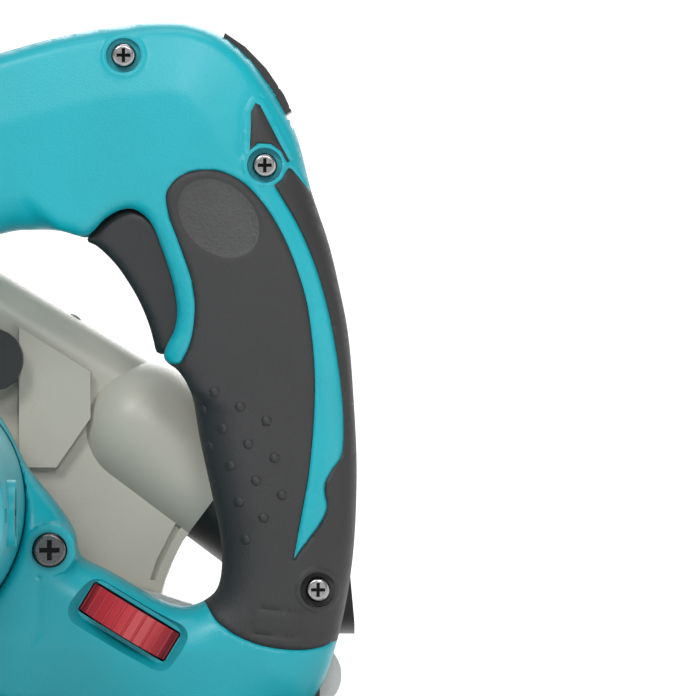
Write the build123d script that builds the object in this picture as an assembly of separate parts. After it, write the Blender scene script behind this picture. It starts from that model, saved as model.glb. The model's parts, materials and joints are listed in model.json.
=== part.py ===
"""Plunge-cut circular saw with a rear loop handle, built as separate pieces.

Frame, in millimetres: the origin lies on the sole under the blade's axis, +Z is up, -X is the
cutting direction, -Y is the motor side and +Y the blade side. The head is raised, the bevel zero.
"""

from build123d import *
import math
import os

# ---------------------------------------------------------------- driving dimensions
BLADE_R = 82.5                  # saw blade radius, a 165 mm blade
BLADE_Y = 62.0                  # mid-plane of the blade
RAISED_Z = 86.0                 # blade axis above the sole, head raised
PLUNGED_Z = 28.0                # blade axis above the sole, head fully down
PIVOT_X, PIVOT_Z = 134.0, 56.0  # axis on which the head plunges
MODULE = 1.0                    # gear module
GEAR_TEETH, PINION_TEETH = 38, 9
MOTOR_R = 41.0                  # outside of the motor barrel
SHAFT_R = 4.0                   # motor shaft radius
PINION_START = 41.5             # where the shaft gives way to the pinion
HANDLE_Y = 22.0                 # parting plane of the handle
HANDLE_HALF = 18.0              # half the thickness of the handle
WALL = 3.0                      # plastic wall
RUBBER = 2.0                    # thickness of the soft grip
CASE_IN, CASE_OUT = 52.0, 73.0  # sides of the blade case
CASE_WALL = 3.0
CASE_ROUND = 11.0               # rounding of the blade case's motor-side rim
SOLE_X0, SOLE_X1 = -152.0, 190.0
SOLE_Y0, SOLE_Y1 = -85.0, 72.0
DECK = 4.0                      # thickness of the base plate
NOTCH_X0, NOTCH_X1 = -92.0, 92.0
NOTCH_Y = 58.0                  # edge of the base beside the blade
GAP = 0.3                       # clearance between pieces that move

BLADE_TEETH = 40
CENTRES = MODULE * (GEAR_TEETH + PINION_TEETH) / 2
REACH = math.hypot(PIVOT_X, RAISED_Z - PIVOT_Z)
RISE = math.asin((RAISED_Z - PIVOT_Z) / REACH)
DROP = math.asin((PIVOT_Z - PLUNGED_Z) / REACH)
PLUNGE = math.degrees(RISE + DROP)
MOTOR_X = CENTRES * math.sin(math.radians(PLUNGE))
MOTOR_Z = RAISED_Z + CENTRES * math.cos(math.radians(PLUNGE))

LEFT_FACE = HANDLE_Y - HANDLE_HALF
RIGHT_FACE = HANDLE_Y + HANDLE_HALF
GEAR_FACE = RIGHT_FACE          # where the gear housing meets the motor barrel
BARREL_END = -92.0              # where the rear cover meets the barrel
COVER_END = -118.0


def about_pivot(radius, degrees):
    """A point in x and z on an arc around the plunge pivot."""
    a = math.radians(degrees)
    return PIVOT_X + radius * math.cos(a), PIVOT_Z + radius * math.sin(a)


HEAD_LOCK = (39.0, 150.6)        # axis of the head lock's knob
STOP_REST = 150.0               # where the stop finger stands, degrees about the pivot
STOP_FINGER = about_pivot(197, STOP_REST)
COVER_BOSS = 3.4                # radius of the bosses that take the case cover's screws
SLIDER_REST = 176.0             # where the depth slider is set, degrees about the pivot
COVER_SCREWS = [(-88.6, 20), (-80, 122), (-42, 165), (10, 181), (62, 161), (88, 22)]
FRONT_SCREWS = [(58, 70), (67, 70)]
REAR_SCREWS = [(56, 39.5)]
RAIL_Y0, RAIL_Y1, RAIL_TOP = -42.0, -28.0, 7.4
CAM_X, CAM_Y = (-120.0, 172.0), -44.0
WRENCH = (60.0, -74.0, 8.5)
PARTS = {}


# ---------------------------------------------------------------- helpers
def slab(sketch, y_low, y_high):
    """Extrudes a sketch drawn in x and z between two y values."""
    return extrude(Plane.XZ.offset(-y_high) * sketch, amount=y_high - y_low)


def disc(x, z, r, y_low, y_high):
    return slab(Pos(x, z) * Circle(r), y_low, y_high)


def block(x0, x1, y0, y1, z0, z1):
    return Pos((x0 + x1) / 2, (y0 + y1) / 2, (z0 + z1) / 2) * Box(x1 - x0, y1 - y0, z1 - z0)


def rod(start, end, r):
    """A cylinder between two points."""
    a, b = Vector(*start), Vector(*end)
    return extrude(Plane(origin=a, z_dir=b - a) * Circle(r), amount=(b - a).length)


def across(x0, x1, y, z, r):
    """A cylinder along X."""
    return rod((x0, y, z), (x1, y, z), r)


def upright(x, y, z0, z1, r):
    return Pos(x, y, (z0 + z1) / 2) * Cylinder(r, z1 - z0)


def arc_band(radius, width, start, sweep, y_low, y_high):
    """A round-ended band along an arc about the plunge pivot, angles in degrees."""
    return slab(SlotArc(CenterArc((PIVOT_X, PIVOT_Z), radius, start, sweep), width), y_low, y_high)


def curved(points):
    """A face bounded by one closed smooth curve."""
    return make_face(Spline(*points, periodic=True))


def shifted(points, amount):
    """A closed outline moved outwards by amount, or inwards where amount is negative."""
    count = len(points)
    neighbours = [(points[i - 1], points[i], points[(i + 1) % count]) for i in range(count)]
    area = sum(a[0] * b[1] - b[0] * a[1] for a, b, _ in neighbours)
    sense = math.copysign(1.0, area)
    moved = []
    for before, here, after in neighbours:
        into = Vector(here[0] - before[0], here[1] - before[1]).normalized()
        out = Vector(after[0] - here[0], after[1] - here[1]).normalized()
        along = (into + out).normalized()
        reach = sense * amount / max(along.dot(out), 0.5)
        moved.append((here[0] + along.Y * reach, here[1] - along.X * reach))
    return moved


def keep(name, shape):
    PARTS[name] = shape


def cross_recess(x, z, y, size, depth):
    """The cross cut into a screw head whose top is at y, facing -Y."""
    bar = slab(Pos(x, z) * Rectangle(size, size * 0.24), y, y + depth)
    return bar + slab(Pos(x, z) * Rectangle(size * 0.24, size), y, y + depth)


def screw_to_right(x, z, head_top, length, head_r=3.6, shaft_r=2.0, head_h=2.6):
    """A pan head screw driven from the motor side towards +Y."""
    head = disc(x, z, head_r, head_top, head_top + head_h)
    head = fillet(head.edges().sort_by(Axis.Y)[0], 1.2)
    shaft = disc(x, z, shaft_r, head_top + head_h, head_top + head_h + length)
    return head + shaft - cross_recess(x, z, head_top, head_r * 1.15, 1.5)


# ---------------------------------------------------------------- outlines of the handle, in x and z
HANDLE_OUTER = [
    (-39, 168), (-37, 192), (-18, 215), (10, 231), (43.5, 241.5), (82.6, 249.9), (102.4, 249.3),
    (115.3, 241.2), (126.5, 225.9), (135.2, 200), (143.4, 171.6), (147.4, 141.8), (148.5, 116.8),
    (147.1, 90.3), (142.6, 67.1), (136.5, 51.8), (128, 46), (110, 45), (80, 49), (52, 55), (38, 70),
    (20, 90), (-12, 118), (-33, 140),
]
HAND_HOLE = [
    (12, 168), (18, 181), (43.5, 188.2), (60, 189), (68.6, 187.4), (76, 193.6), (83, 195.2), (88.5, 190),
    (94.4, 173), (95.4, 164), (94, 155), (92.4, 149.8), (96.2, 147.5), (99.7, 140.4), (102.3, 126.1),
    (105.9, 109.7), (108.5, 97), (108.5, 86.2), (104, 79.6), (97.7, 77.4), (89.2, 79.7), (74.2, 88.2),
    (66.4, 93), (63.1, 102.6), (57.9, 109.7), (50.5, 119), (43, 133), (32, 145), (20, 154),
]
SOFT_SLEEVE = [
    (92.5, 149.5), (101, 150), (112, 154), (128, 152), (137, 158), (150, 162), (156, 120), (150, 66.5),
    (142.6, 67.4), (133.2, 65.2), (126, 65.5), (118.8, 67), (112.2, 70), (106.8, 74.2), (102.6, 80),
    (92, 110),
]
SOFT_PANEL = [
    (92.4, 197), (95.1, 203.6), (101.4, 206.4), (108.5, 206.1), (116.2, 202), (122.9, 194.1),
    (131.5, 175.7), (135.8, 150), (134, 132), (118, 128), (104, 134), (99.6, 149), (100.8, 166.2),
    (97.8, 180.2), (93.5, 191.9),
]
BACK_STRIP = [
    (118.7, 226.3), (117.2, 222), (117.2, 212.6), (123.9, 202.2), (133.3, 185.6), (140.5, 163.1),
    (143.4, 146.3), (144.4, 122.8), (150, 122), (151, 160), (143, 185), (136.6, 198), (126, 212),
]
HANDLE_CAVITY = [
    (86, 238), (100, 236), (113, 226), (121, 216), (128, 198), (136, 172), (139.5, 140), (140, 112),
    (138, 92), (134, 75), (124, 72), (116, 82), (113, 100), (108, 122), (104, 142), (104, 165), (98, 184),
    (90, 200), (70, 206), (48, 203), (30, 204), (26, 214), (52, 230),
]
LOWER_CAVITY = [(98, 56), (112, 52), (124, 54), (129, 62), (126, 70), (112, 66), (101, 64)]
HANDLE_SCREWS = [(79.8, 240.3), (121.4, 207.9), (137.1, 82.9), (-22, 200)]
CORNER_SCREW = (58.2, 94.7)
RECESS_R, RECESS_DEPTH = 5.2, 4.5
TRIGGER_PIVOT = (84.0, 199.0)
LUG_R, LUG_HALF = 4.6, 6.0      # the trigger's lug round its pin
PIN_HALF = 15.0                 # half the length of the trigger's pin
CORD_START, CORD_END = (116, HANDLE_Y, 52), (137.5, HANDLE_Y, 52)
CORD_OUT = (144, HANDLE_Y, 52)  # past the handle's rear edge
CORD_R, INLET_R = 4.0, 5.5


def handle_profile(inset=0.0):
    """The loop of the handle with a seat for the motor barrel."""
    seat = Pos(MOTOR_X, MOTOR_Z) * Circle(MOTOR_R + GAP + inset)
    corner = Pos(*CORNER_SCREW) * Circle(8.6 - inset)
    loop = curved(shifted(HANDLE_OUTER, -inset)) - curved(shifted(HAND_HOLE, inset))
    return loop + corner - seat


def soft_area():
    """Where the soft grip lies, seen from the side."""
    screws = Sketch() + [Pos(x, z) * Circle(RECESS_R + 1.6) for x, z in HANDLE_SCREWS]
    triangle_edge = curved(BACK_STRIP)
    return (curved(SOFT_SLEEVE) + curved(SOFT_PANEL) + triangle_edge) - screws


DIAL_R, DIAL_WIDTH, DIAL_POCKET = 16.4, 9.0, 5.0
DIAL_CENTRE = (81.4, 19.6, 73.4)
DIAL_AXIS = (0.52, 0, 0.854)


# ---------------------------------------------------------------- handle
CROWN = [(0.0, 2.4), (1.2, 1.0), (3.2, 0.0)]  # depth of each layer's start below the face, and its inset


def handle_block(side):
    """Half of the handle, its side stepped in towards the face; side is -1 for the motor side."""
    half = None
    for depth, inset in CROWN:
        face = HANDLE_Y + side * (HANDLE_HALF - depth)
        piece = slab(handle_profile(inset), min(face, HANDLE_Y), max(face, HANDLE_Y))
        half = piece if half is None else half + piece
    return half


def trigger_room():
    """Space inside both halves in which the trigger swings."""
    swing = make_face(Polyline((66, 188), (78, 198), (92, 196), (104, 186), (108, 165), (104, 146),
                               (88, 146), (80, 170), close=True))
    lug = slab(trigger_lug(LUG_R + 0.9), HANDLE_Y - LUG_HALF - 0.6, HANDLE_Y + LUG_HALF + 0.6)
    return slab(swing, HANDLE_Y - 13.5, HANDLE_Y + 13.5) + lug


def trigger_lug(r):
    return make_hull((Pos(*TRIGGER_PIVOT) * Circle(r)).edges() + (Pos(85, 190) * Circle(r)).edges())


def lock_off_room():
    room = make_face(Polyline((101, 236), (108, 254), (134, 232), (128, 214), (118, 216), close=True))
    return slab(room, HANDLE_Y - 7.5, HANDLE_Y + 7.5)


def dial_wheel(r, width):
    """A cylinder where the speed dial lies."""
    x, y, z = DIAL_CENTRE
    reach = width / 2
    return rod((x - DIAL_AXIS[0] * reach, y, z - DIAL_AXIS[2] * reach),
               (x + DIAL_AXIS[0] * reach, y, z + DIAL_AXIS[2] * reach), r)


def dial_room():
    """The dished pocket in the handle's side and the space that the wheel turns in."""
    frame = Plane(origin=(DIAL_CENTRE[0], LEFT_FACE, DIAL_CENTRE[2]),
                  x_dir=(DIAL_AXIS[2], 0, -DIAL_AXIS[0]), z_dir=(0, -1, 0))
    pocket = extrude(frame * RectangleRounded(33, 14.5, 2.5), amount=-DIAL_POCKET)
    return pocket + dial_wheel(DIAL_R + 0.6, DIAL_WIDTH + 1.0)


def make_handle():
    area = soft_area()
    core = handle_profile(RUBBER)
    cavity = curved(HANDLE_CAVITY)
    bosses = Sketch() + [Pos(x, z) * Circle(5.6) for x, z in HANDLE_SCREWS]
    hollow = cavity - bosses
    lower_hollow = curved(LOWER_CAVITY)
    for name, side in (("left", -1), ("right", 1)):
        face = HANDLE_Y + side * HANDLE_HALF
        half = handle_block(side)
        low, high = sorted((face - side * RUBBER, HANDLE_Y))
        skin = half - slab(core, low, high)
        soft = skin & slab(area, min(face, HANDLE_Y), max(face, HANDLE_Y))
        soft = Part() + [solid for solid in soft.solids() if solid.volume > 400]
        shell = half - soft
        low, high = sorted((face - side * (WALL + RUBBER), HANDLE_Y))
        shell -= slab(hollow + lower_hollow, low, high)
        shell -= trigger_room() + lock_off_room() + dial_room()
        soft -= trigger_room()
        shell -= rod(CORD_START, CORD_OUT, INLET_R)
        shell -= disc(*TRIGGER_PIVOT, 2.0, HANDLE_Y - PIN_HALF, HANDLE_Y + PIN_HALF)
        if side < 0:
            shell -= disc(*CORNER_SCREW, 2.0, face, HANDLE_Y)
        else:
            shell -= disc(*CORNER_SCREW, 2.0, HANDLE_Y, HANDLE_Y + 6)
        for x, z in HANDLE_SCREWS:
            if side < 0:
                shell -= disc(x, z, RECESS_R, face, face + RECESS_DEPTH)
                shell -= disc(x, z, 2.3, face, HANDLE_Y)
            else:
                shell -= disc(x, z, 2.0, HANDLE_Y, HANDLE_Y + 13)
        keep(f"handle_{name}_half", shell)
        keep(f"soft_grip_{name}", soft)


def make_handle_fittings():
    """Trigger, lock-off button, dial, switch, board, cord inlet and screws."""
    front = Spline((68.9, 186.2), (74.2, 182.1), (78.8, 176.9), (82.6, 171), (87.3, 160.5), (89.2, 152.4))
    back = Polyline((89.2, 152.4), (95.5, 153), (99, 165), (96, 180), (90, 193.5), (82, 196),
                    (75.5, 193.6), (68.9, 186.2))
    blade = make_face(front + back)
    trigger = slab(blade, HANDLE_Y - 13, HANDLE_Y + 13)
    trigger += slab(trigger_lug(LUG_R), HANDLE_Y - LUG_HALF, HANDLE_Y + LUG_HALF)
    trigger -= disc(*TRIGGER_PIVOT, 2.1, HANDLE_Y - 13, HANDLE_Y + 13)
    keep("trigger", trigger)
    keep("trigger_pin", disc(*TRIGGER_PIVOT, 2.0, HANDLE_Y - PIN_HALF, HANDLE_Y + PIN_HALF))

    lever = make_face(Polyline((109.5, 247.3), (115.5, 243.2), (121.7, 236.8), (127, 229), (129.2, 224.2),
                               (125.4, 221.8), (119.4, 228.6), (112.4, 236.4), (107.8, 242), close=True))
    button = slab(lever, HANDLE_Y - 7, HANDLE_Y + 7)
    for along in range(7):
        share = along / 6
        x = 109.5 + (128.6 - 109.5) * share
        z = 247.6 - 7.2 * share - 15.4 * share ** 2
        button -= disc(x + 0.7, z + 0.6, 0.9, HANDLE_Y - 7, HANDLE_Y + 7)
    keep("lock_off_button", button)

    wheel = dial_wheel(DIAL_R, DIAL_WIDTH)
    side = Plane(origin=DIAL_CENTRE, x_dir=(0, -1, 0), z_dir=DIAL_AXIS)
    grooves = [side * Pos(DIAL_R * math.cos(a), DIAL_R * math.sin(a)) * Circle(0.45)
               for a in (math.radians(12 * i) for i in range(30))]
    wheel -= extrude(Sketch() + grooves, amount=DIAL_WIDTH / 2, both=True)
    keep("speed_dial", wheel)

    switch = block(107.5, 127, HANDLE_Y - 11, HANDLE_Y + 11, 160, 188)
    keep("switch", fillet(switch.edges().filter_by(Axis.Y), 1.5))
    board = block(103, 115, HANDLE_Y - 9, HANDLE_Y + 9, 57.5, 59.5)
    board += block(105, 113, HANDLE_Y - 6, HANDLE_Y + 6, 59.5, 63)
    keep("control_board", board)
    inlet = rod(CORD_START, CORD_END, INLET_R) - rod(CORD_START, CORD_END, CORD_R)
    keep("cord_inlet", inlet)

    screws = None
    for x, z in HANDLE_SCREWS:
        screw = screw_to_right(x, z, LEFT_FACE + 1.6, 24)
        screws = screw if screws is None else screws + screw
    corner = screw_to_right(*CORNER_SCREW, LEFT_FACE - 2.8, 24, head_r=5.2, head_h=2.8)
    keep("handle_screws", screws + corner)


# ---------------------------------------------------------------- motor
SCREW_RING = 34.0               # radius of the four long motor screws
BRUSH_Y = -76.0


def ring(x, z, r_out, r_in, y_low, y_high):
    return disc(x, z, r_out, y_low, y_high) - disc(x, z, r_in, y_low, y_high)


def around(count, radius, start=45.0):
    """Points around the motor axis."""
    for i in range(count):
        a = math.radians(start + 360 * i / count)
        yield MOTOR_X + radius * math.cos(a), MOTOR_Z + radius * math.sin(a)


def make_motor_shell():
    x, z = MOTOR_X, MOTOR_Z
    barrel = disc(x, z, MOTOR_R, BARREL_END, GEAR_FACE) - disc(x, z, MOTOR_R - 4, BARREL_END, GEAR_FACE - 10)
    for px, pz in around(4, SCREW_RING):
        post = disc(px, pz, 4.6, BARREL_END, GEAR_FACE - 10)
        barrel += post & disc(x, z, MOTOR_R - 2, BARREL_END, GEAR_FACE)
    for px, pz in around(4, 33.0, 0):
        barrel += block(px - 4, px + 4, -60, -4, pz - 4, pz + 4) - disc(x, z, 29, -60, -4)
    for side in (-1, 1):
        barrel += across(x + side * 32, x + side * 42.5, BRUSH_Y, z, 9.5)
        barrel -= across(x + side * 22, x + side * 43, BRUSH_Y, z, 7.2)
    barrel -= disc(x, z, 11, GEAR_FACE - 8, GEAR_FACE) + disc(x, z, 6, GEAR_FACE - 10, GEAR_FACE)
    barrel -= disc(0, RAISED_Z, 9.5, GEAR_FACE - 7, GEAR_FACE)
    for px, pz in around(4, SCREW_RING):
        barrel -= disc(px, pz, 2.0, BARREL_END, BARREL_END + 16)
    keep("motor_housing", barrel)

    cover = disc(x, z, MOTOR_R, COVER_END, BARREL_END)
    cover = fillet(cover.faces().sort_by(Axis.Y)[0].edges(), 9)
    cover -= disc(x, z, MOTOR_R - 4, COVER_END + 5, BARREL_END)
    cover += ring(x, z, 12.5, 9.5, COVER_END + 5, COVER_END + 12)
    for px, pz in around(4, SCREW_RING):
        post = disc(px, pz, 5.4, COVER_END + 5, BARREL_END)
        cover += post & disc(x, z, MOTOR_R - 2, COVER_END, BARREL_END)
    for i in range(3):
        for side in (-1, 1):
            height = z - 16 + 16 * i
            middle = x + side * 30
            cover -= block(middle - 14, middle + 14, COVER_END + 10, BARREL_END - 5, height - 2, height + 2)
    for px, pz in around(4, SCREW_RING):
        cover -= disc(px, pz, 4.4, COVER_END, COVER_END + 7) + disc(px, pz, 2.2, COVER_END, BARREL_END)
    keep("motor_rear_cover", cover)
    screws = None
    for px, pz in around(4, SCREW_RING):
        screw = screw_to_right(px, pz, COVER_END + 4.4, 34, head_r=3.8)
        screws = screw if screws is None else screws + screw
    keep("motor_screws", screws)


def make_brushes():
    caps, holders, brushes = [], [], []
    for side in (-1, 1):
        start = MOTOR_X + side * 15.4
        cap = across(MOTOR_X + side * 37.5, MOTOR_X + side * 42.2, BRUSH_Y, MOTOR_Z, 7.0)
        slot_x = MOTOR_X + side * 41.6
        slot = block(slot_x - 0.7, slot_x + 0.7, BRUSH_Y - 5.5, BRUSH_Y + 5.5, MOTOR_Z - 0.8, MOTOR_Z + 0.8)
        caps.append(cap - slot)
        x0, x1 = sorted((MOTOR_X + side * 18, MOTOR_X + side * 37.4))
        tube = block(x0, x1, BRUSH_Y - 5, BRUSH_Y + 5, MOTOR_Z - 4, MOTOR_Z + 4)
        holders.append(tube - block(x0, x1, BRUSH_Y - 3.6, BRUSH_Y + 3.6, MOTOR_Z - 2.6, MOTOR_Z + 2.6))
        x0, x1 = sorted((start, start + side * 14))
        brushes.append(block(x0, x1, BRUSH_Y - 3.5, BRUSH_Y + 3.5, MOTOR_Z - 2.5, MOTOR_Z + 2.5))
    keep("brush_caps", caps[0] + caps[1])
    keep("brush_holders", Compound(holders + brushes))


def gear_teeth(teeth, phase, bore):
    """A spur gear with straight-flanked, relieved teeth; phase turns the first tooth, in degrees."""
    pitch_r = MODULE * teeth / 2
    top, root = pitch_r + 0.7 * MODULE, pitch_r - 1.0 * MODULE
    step = 2 * math.pi / teeth
    half_root, half_top = 0.85 * MODULE / root, 0.36 * MODULE / top
    points = []
    for i in range(teeth):
        mid = math.radians(phase) + i * step
        for r, a in ((root, -half_root), (top, -half_top), (top, half_top), (root, half_root)):
            points.append((r * math.cos(mid + a), r * math.sin(mid + a)))
    profile = make_face(Polyline(*points, close=True))
    if bore:
        profile -= Circle(bore)
    return profile


def make_rotor():
    x, z = MOTOR_X, MOTOR_Z
    line = math.degrees(math.atan2(z - RAISED_Z, x))
    shaft = disc(x, z, SHAFT_R, -109, PINION_START)
    pinion = slab(Pos(x, z) * gear_teeth(PINION_TEETH, line + 180, 0), PINION_START, 49)
    keep("motor_shaft", shaft + pinion)
    core = Circle(18) - Circle(4)
    for i in range(12):
        core -= Rot(0, 0, 30 * i) * Pos(14.5, 0) * Rectangle(7.2, 2.4)
    keep("armature_core", slab(Pos(x, z) * core, -58, -8))
    keep("armature_windings", ring(x, z, 16, 4, -66, -58) + ring(x, z, 16, 4, -8, 0))
    bars = Circle(15) - Circle(4)
    for i in range(24):
        bars -= Rot(0, 0, 15 * i) * Pos(14.4, 0) * Rectangle(1.4, 0.5)
    keep("commutator", slab(Pos(x, z) * bars, -84, -67))
    fan = ring(x, z, 28.5, 4, 9, 10.5) + ring(x, z, 9, 4, 10.5, 19)
    for i in range(10):
        vane = Rot(0, 0, 36 * i) * Pos(17.8, 0) * Rot(0, 0, 18) * Rectangle(19, 1.4)
        fan += slab(Pos(x, z) * vane, 10.5, 20)
    keep("cooling_fan", fan)


def make_stator():
    x, z = MOTOR_X, MOTOR_Z
    lamination = Circle(29) - Circle(24)
    for side in (-1, 1):
        pole = (Circle(25) - Circle(18.7)) & (Pos(0, side * 22) * Rectangle(30, 18))
        lamination += pole
    keep("stator_core", slab(Pos(x, z) * lamination, -60, -6))
    coil = (Circle(23.8) - Circle(19)) & (Pos(0, 20) * Rectangle(36, 22))
    other = Rot(0, 0, 180) * coil
    coils = None
    for shape in (coil, other):
        for y in (-66, -5.8):
            piece = slab(Pos(x, z) * shape, y, y + 5.8)
            coils = piece if coils is None else coils + piece
    keep("field_coils", coils)


# ---------------------------------------------------------------- gear housing, spindle and blade
def capsule(x0, z0, r0, x1, z1, r1):
    """The outline around two discs."""
    return make_hull((Pos(x0, z0) * Circle(r0)).edges() + (Pos(x1, z1) * Circle(r1)).edges())


def make_gear_housing():
    z = RAISED_Z
    y0, y1 = GEAR_FACE, GEAR_FACE + 10.5
    body = slab(capsule(0, z, 22, MOTOR_X, MOTOR_Z, 36), y0, y1)
    body += slab(capsule(34, 84, 13, PIVOT_X, PIVOT_Z, 10), y0 + 2, y0 + 10)
    body += slab(capsule(-18, 124, 9, *STOP_FINGER, 4), y0 + 2, y0 + 7)
    body += disc(0, z, 17, y1, y1 + 7)
    body += across(-36, -20.6, GEAR_FACE + 5, z, 4.9)
    body -= disc(0, z, 20.5, y0, y0 + 9.7) + disc(MOTOR_X, MOTOR_Z, 7, y0, y0 + 9.7)
    body -= disc(0, z, 14, y0 + 9.7, y1 + 7)
    body -= disc(PIVOT_X, PIVOT_Z, 5.05, y0, y1)
    body -= across(-36, -20, GEAR_FACE + 5, z, 2.6)
    keep("gear_housing", body)
    bearings = ring(0, z, 14, 6, y0 + 9.8, y0 + 17.4) + ring(0, z, 9.5, 4, y0 - 6.8, y0 - 0.6)
    bearings += ring(MOTOR_X, MOTOR_Z, 11, SHAFT_R + 0.2, y0 - 7.5, y0 - 0.5)
    bearings += ring(MOTOR_X, MOTOR_Z, 9.5, SHAFT_R + 0.2, COVER_END + 6, COVER_END + 12)
    keep("bearings", bearings)
    button = across(-42.5, -39.5, GEAR_FACE + 5, z, 6.2) + across(-40, -24.4, GEAR_FACE + 5, z, 2.5)
    keep("shaft_lock_button", button)


def make_blade_set():
    z = RAISED_Z
    line = math.degrees(math.atan2(MOTOR_Z - z, MOTOR_X))
    spindle = disc(0, z, 4.0, 33.4, 40) + disc(0, z, 6, 40, 60.9) - disc(0, z, 4, 47, 61)
    keep("spindle", spindle)
    gear = slab(Pos(0, z) * gear_teeth(GEAR_TEETH, line + 180 / GEAR_TEETH, 6), 42, 48.8)
    keep("drive_gear", gear)
    inner = ring(0, z, 19, 6, 57.9, 61.1) + ring(0, z, 10, 6, 61.1, 62.4) - disc(0, z, 4, 57.9, 63)

    half = BLADE_Y - 61.1
    body = Circle(BLADE_R - 6) - Circle(10)
    teeth = []
    for i in range(BLADE_TEETH):
        turn = Rot(0, 0, 360 / BLADE_TEETH * i)
        r = BLADE_R
        tooth = Polyline((r - 8, -4.5), (r - 8, 6.5), (r - 0.6, 1.4), (r - 3.6, 0), (r - 4.4, -3),
                         close=True)
        teeth.append(turn * make_face(tooth))
    body += teeth
    for i in range(4):
        turn = Rot(0, 0, 20 + 90 * i)
        body -= turn * Pos(68, 0) * Rectangle(14, 0.8)
        body -= turn * Pos(61, 0) * Circle(2.2)
    keep("saw_blade", slab(Pos(0, z) * body, BLADE_Y - half, BLADE_Y + half))
    tips = []
    for i in range(BLADE_TEETH):
        turn = Rot(0, 0, 360 / BLADE_TEETH * i)
        r = BLADE_R
        tip = Polyline((r - 3.6, 0), (r - 0.6, 1.4), (r, 0.2), (r - 3.3, -1.3), close=True)
        tips.append(turn * make_face(tip))
    keep("carbide_tips", slab(Pos(0, z) * (Sketch() + tips), BLADE_Y - 1.15, BLADE_Y + 1.15))
    outer = ring(0, z, 17, 4.2, 62.9, 65.4)
    keep("blade_flanges", inner + outer)
    bolt = slab(Pos(0, z) * RegularPolygon(6.5, 6), 65.4, 69.3) + disc(0, z, 3.95, 48, 65.4)
    keep("blade_bolt", bolt - slab(Pos(0, z) * RegularPolygon(2.9, 6), 66.3, 69.3))


# ---------------------------------------------------------------- blade case and dust nozzle
CREST = [(-90, 86), (-83, 122), (-65, 149), (-42, 169), (-15, 182), (15, 185.5)]
ROOF = [(43.5, 175.6), (93.5, 145.3), (120.6, 128.9)]
CASE_REAR = [(106.3, 109.1), (99.7, 100.6), (95.7, 95.4), (93.1, 90.2), (90.5, 83.6), (89.5, 79.7)]
REAR_GROOVE = [(96.9, 106.6), (91.6, 96.8), (88.2, 90), (86.3, 84.4), (88, 84), (90, 89.4), (93.3, 96), (98.4, 105.2)]
REAR_NOTCH = [(80.5, 76), (85, 76), (85, 80.5), (80.5, 80.5)]
DUCT_AXIS = (0.8, 0, -0.6)
DUCT_END = (108.1, 62.5, 112)
DUCT_R = 20.0
LUG_END = CASE_IN + 8           # blade-side face of the lug that the head pivots on
BEVEL_Y = 62.0                  # the tilt axis runs along X through this y at the sole
CLAMP_R, CLAMP_REST = 40.0, 52.0
QUADRANT_R = 48.0


def case_profile(inset=0.0):
    points = shifted([*CREST, *ROOF, *CASE_REAR, (89.5, 6), (-90, 6)], -inset)
    crest = Spline(points[:len(CREST) + 1], tangents=[(0, 1), (0.855, -0.518)])
    rest = Polyline(*points[len(CREST):], points[0])
    return make_face(crest + rest)


def rounded_rim(profile, y_low, y_high, r):
    """A slab whose motor-side edge is rounded over along the crest and the roof."""
    body = slab(profile, y_low, y_high)
    rim = body.faces().sort_by(Axis.Y)[0].edges()
    return fillet([e for e in rim if (e @ 0.5).Z > 10 and (e @ 0.5).X < 85], r)


def along_duct(distance):
    return tuple(DUCT_END[i] + DUCT_AXIS[i] * distance for i in range(3))


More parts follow.
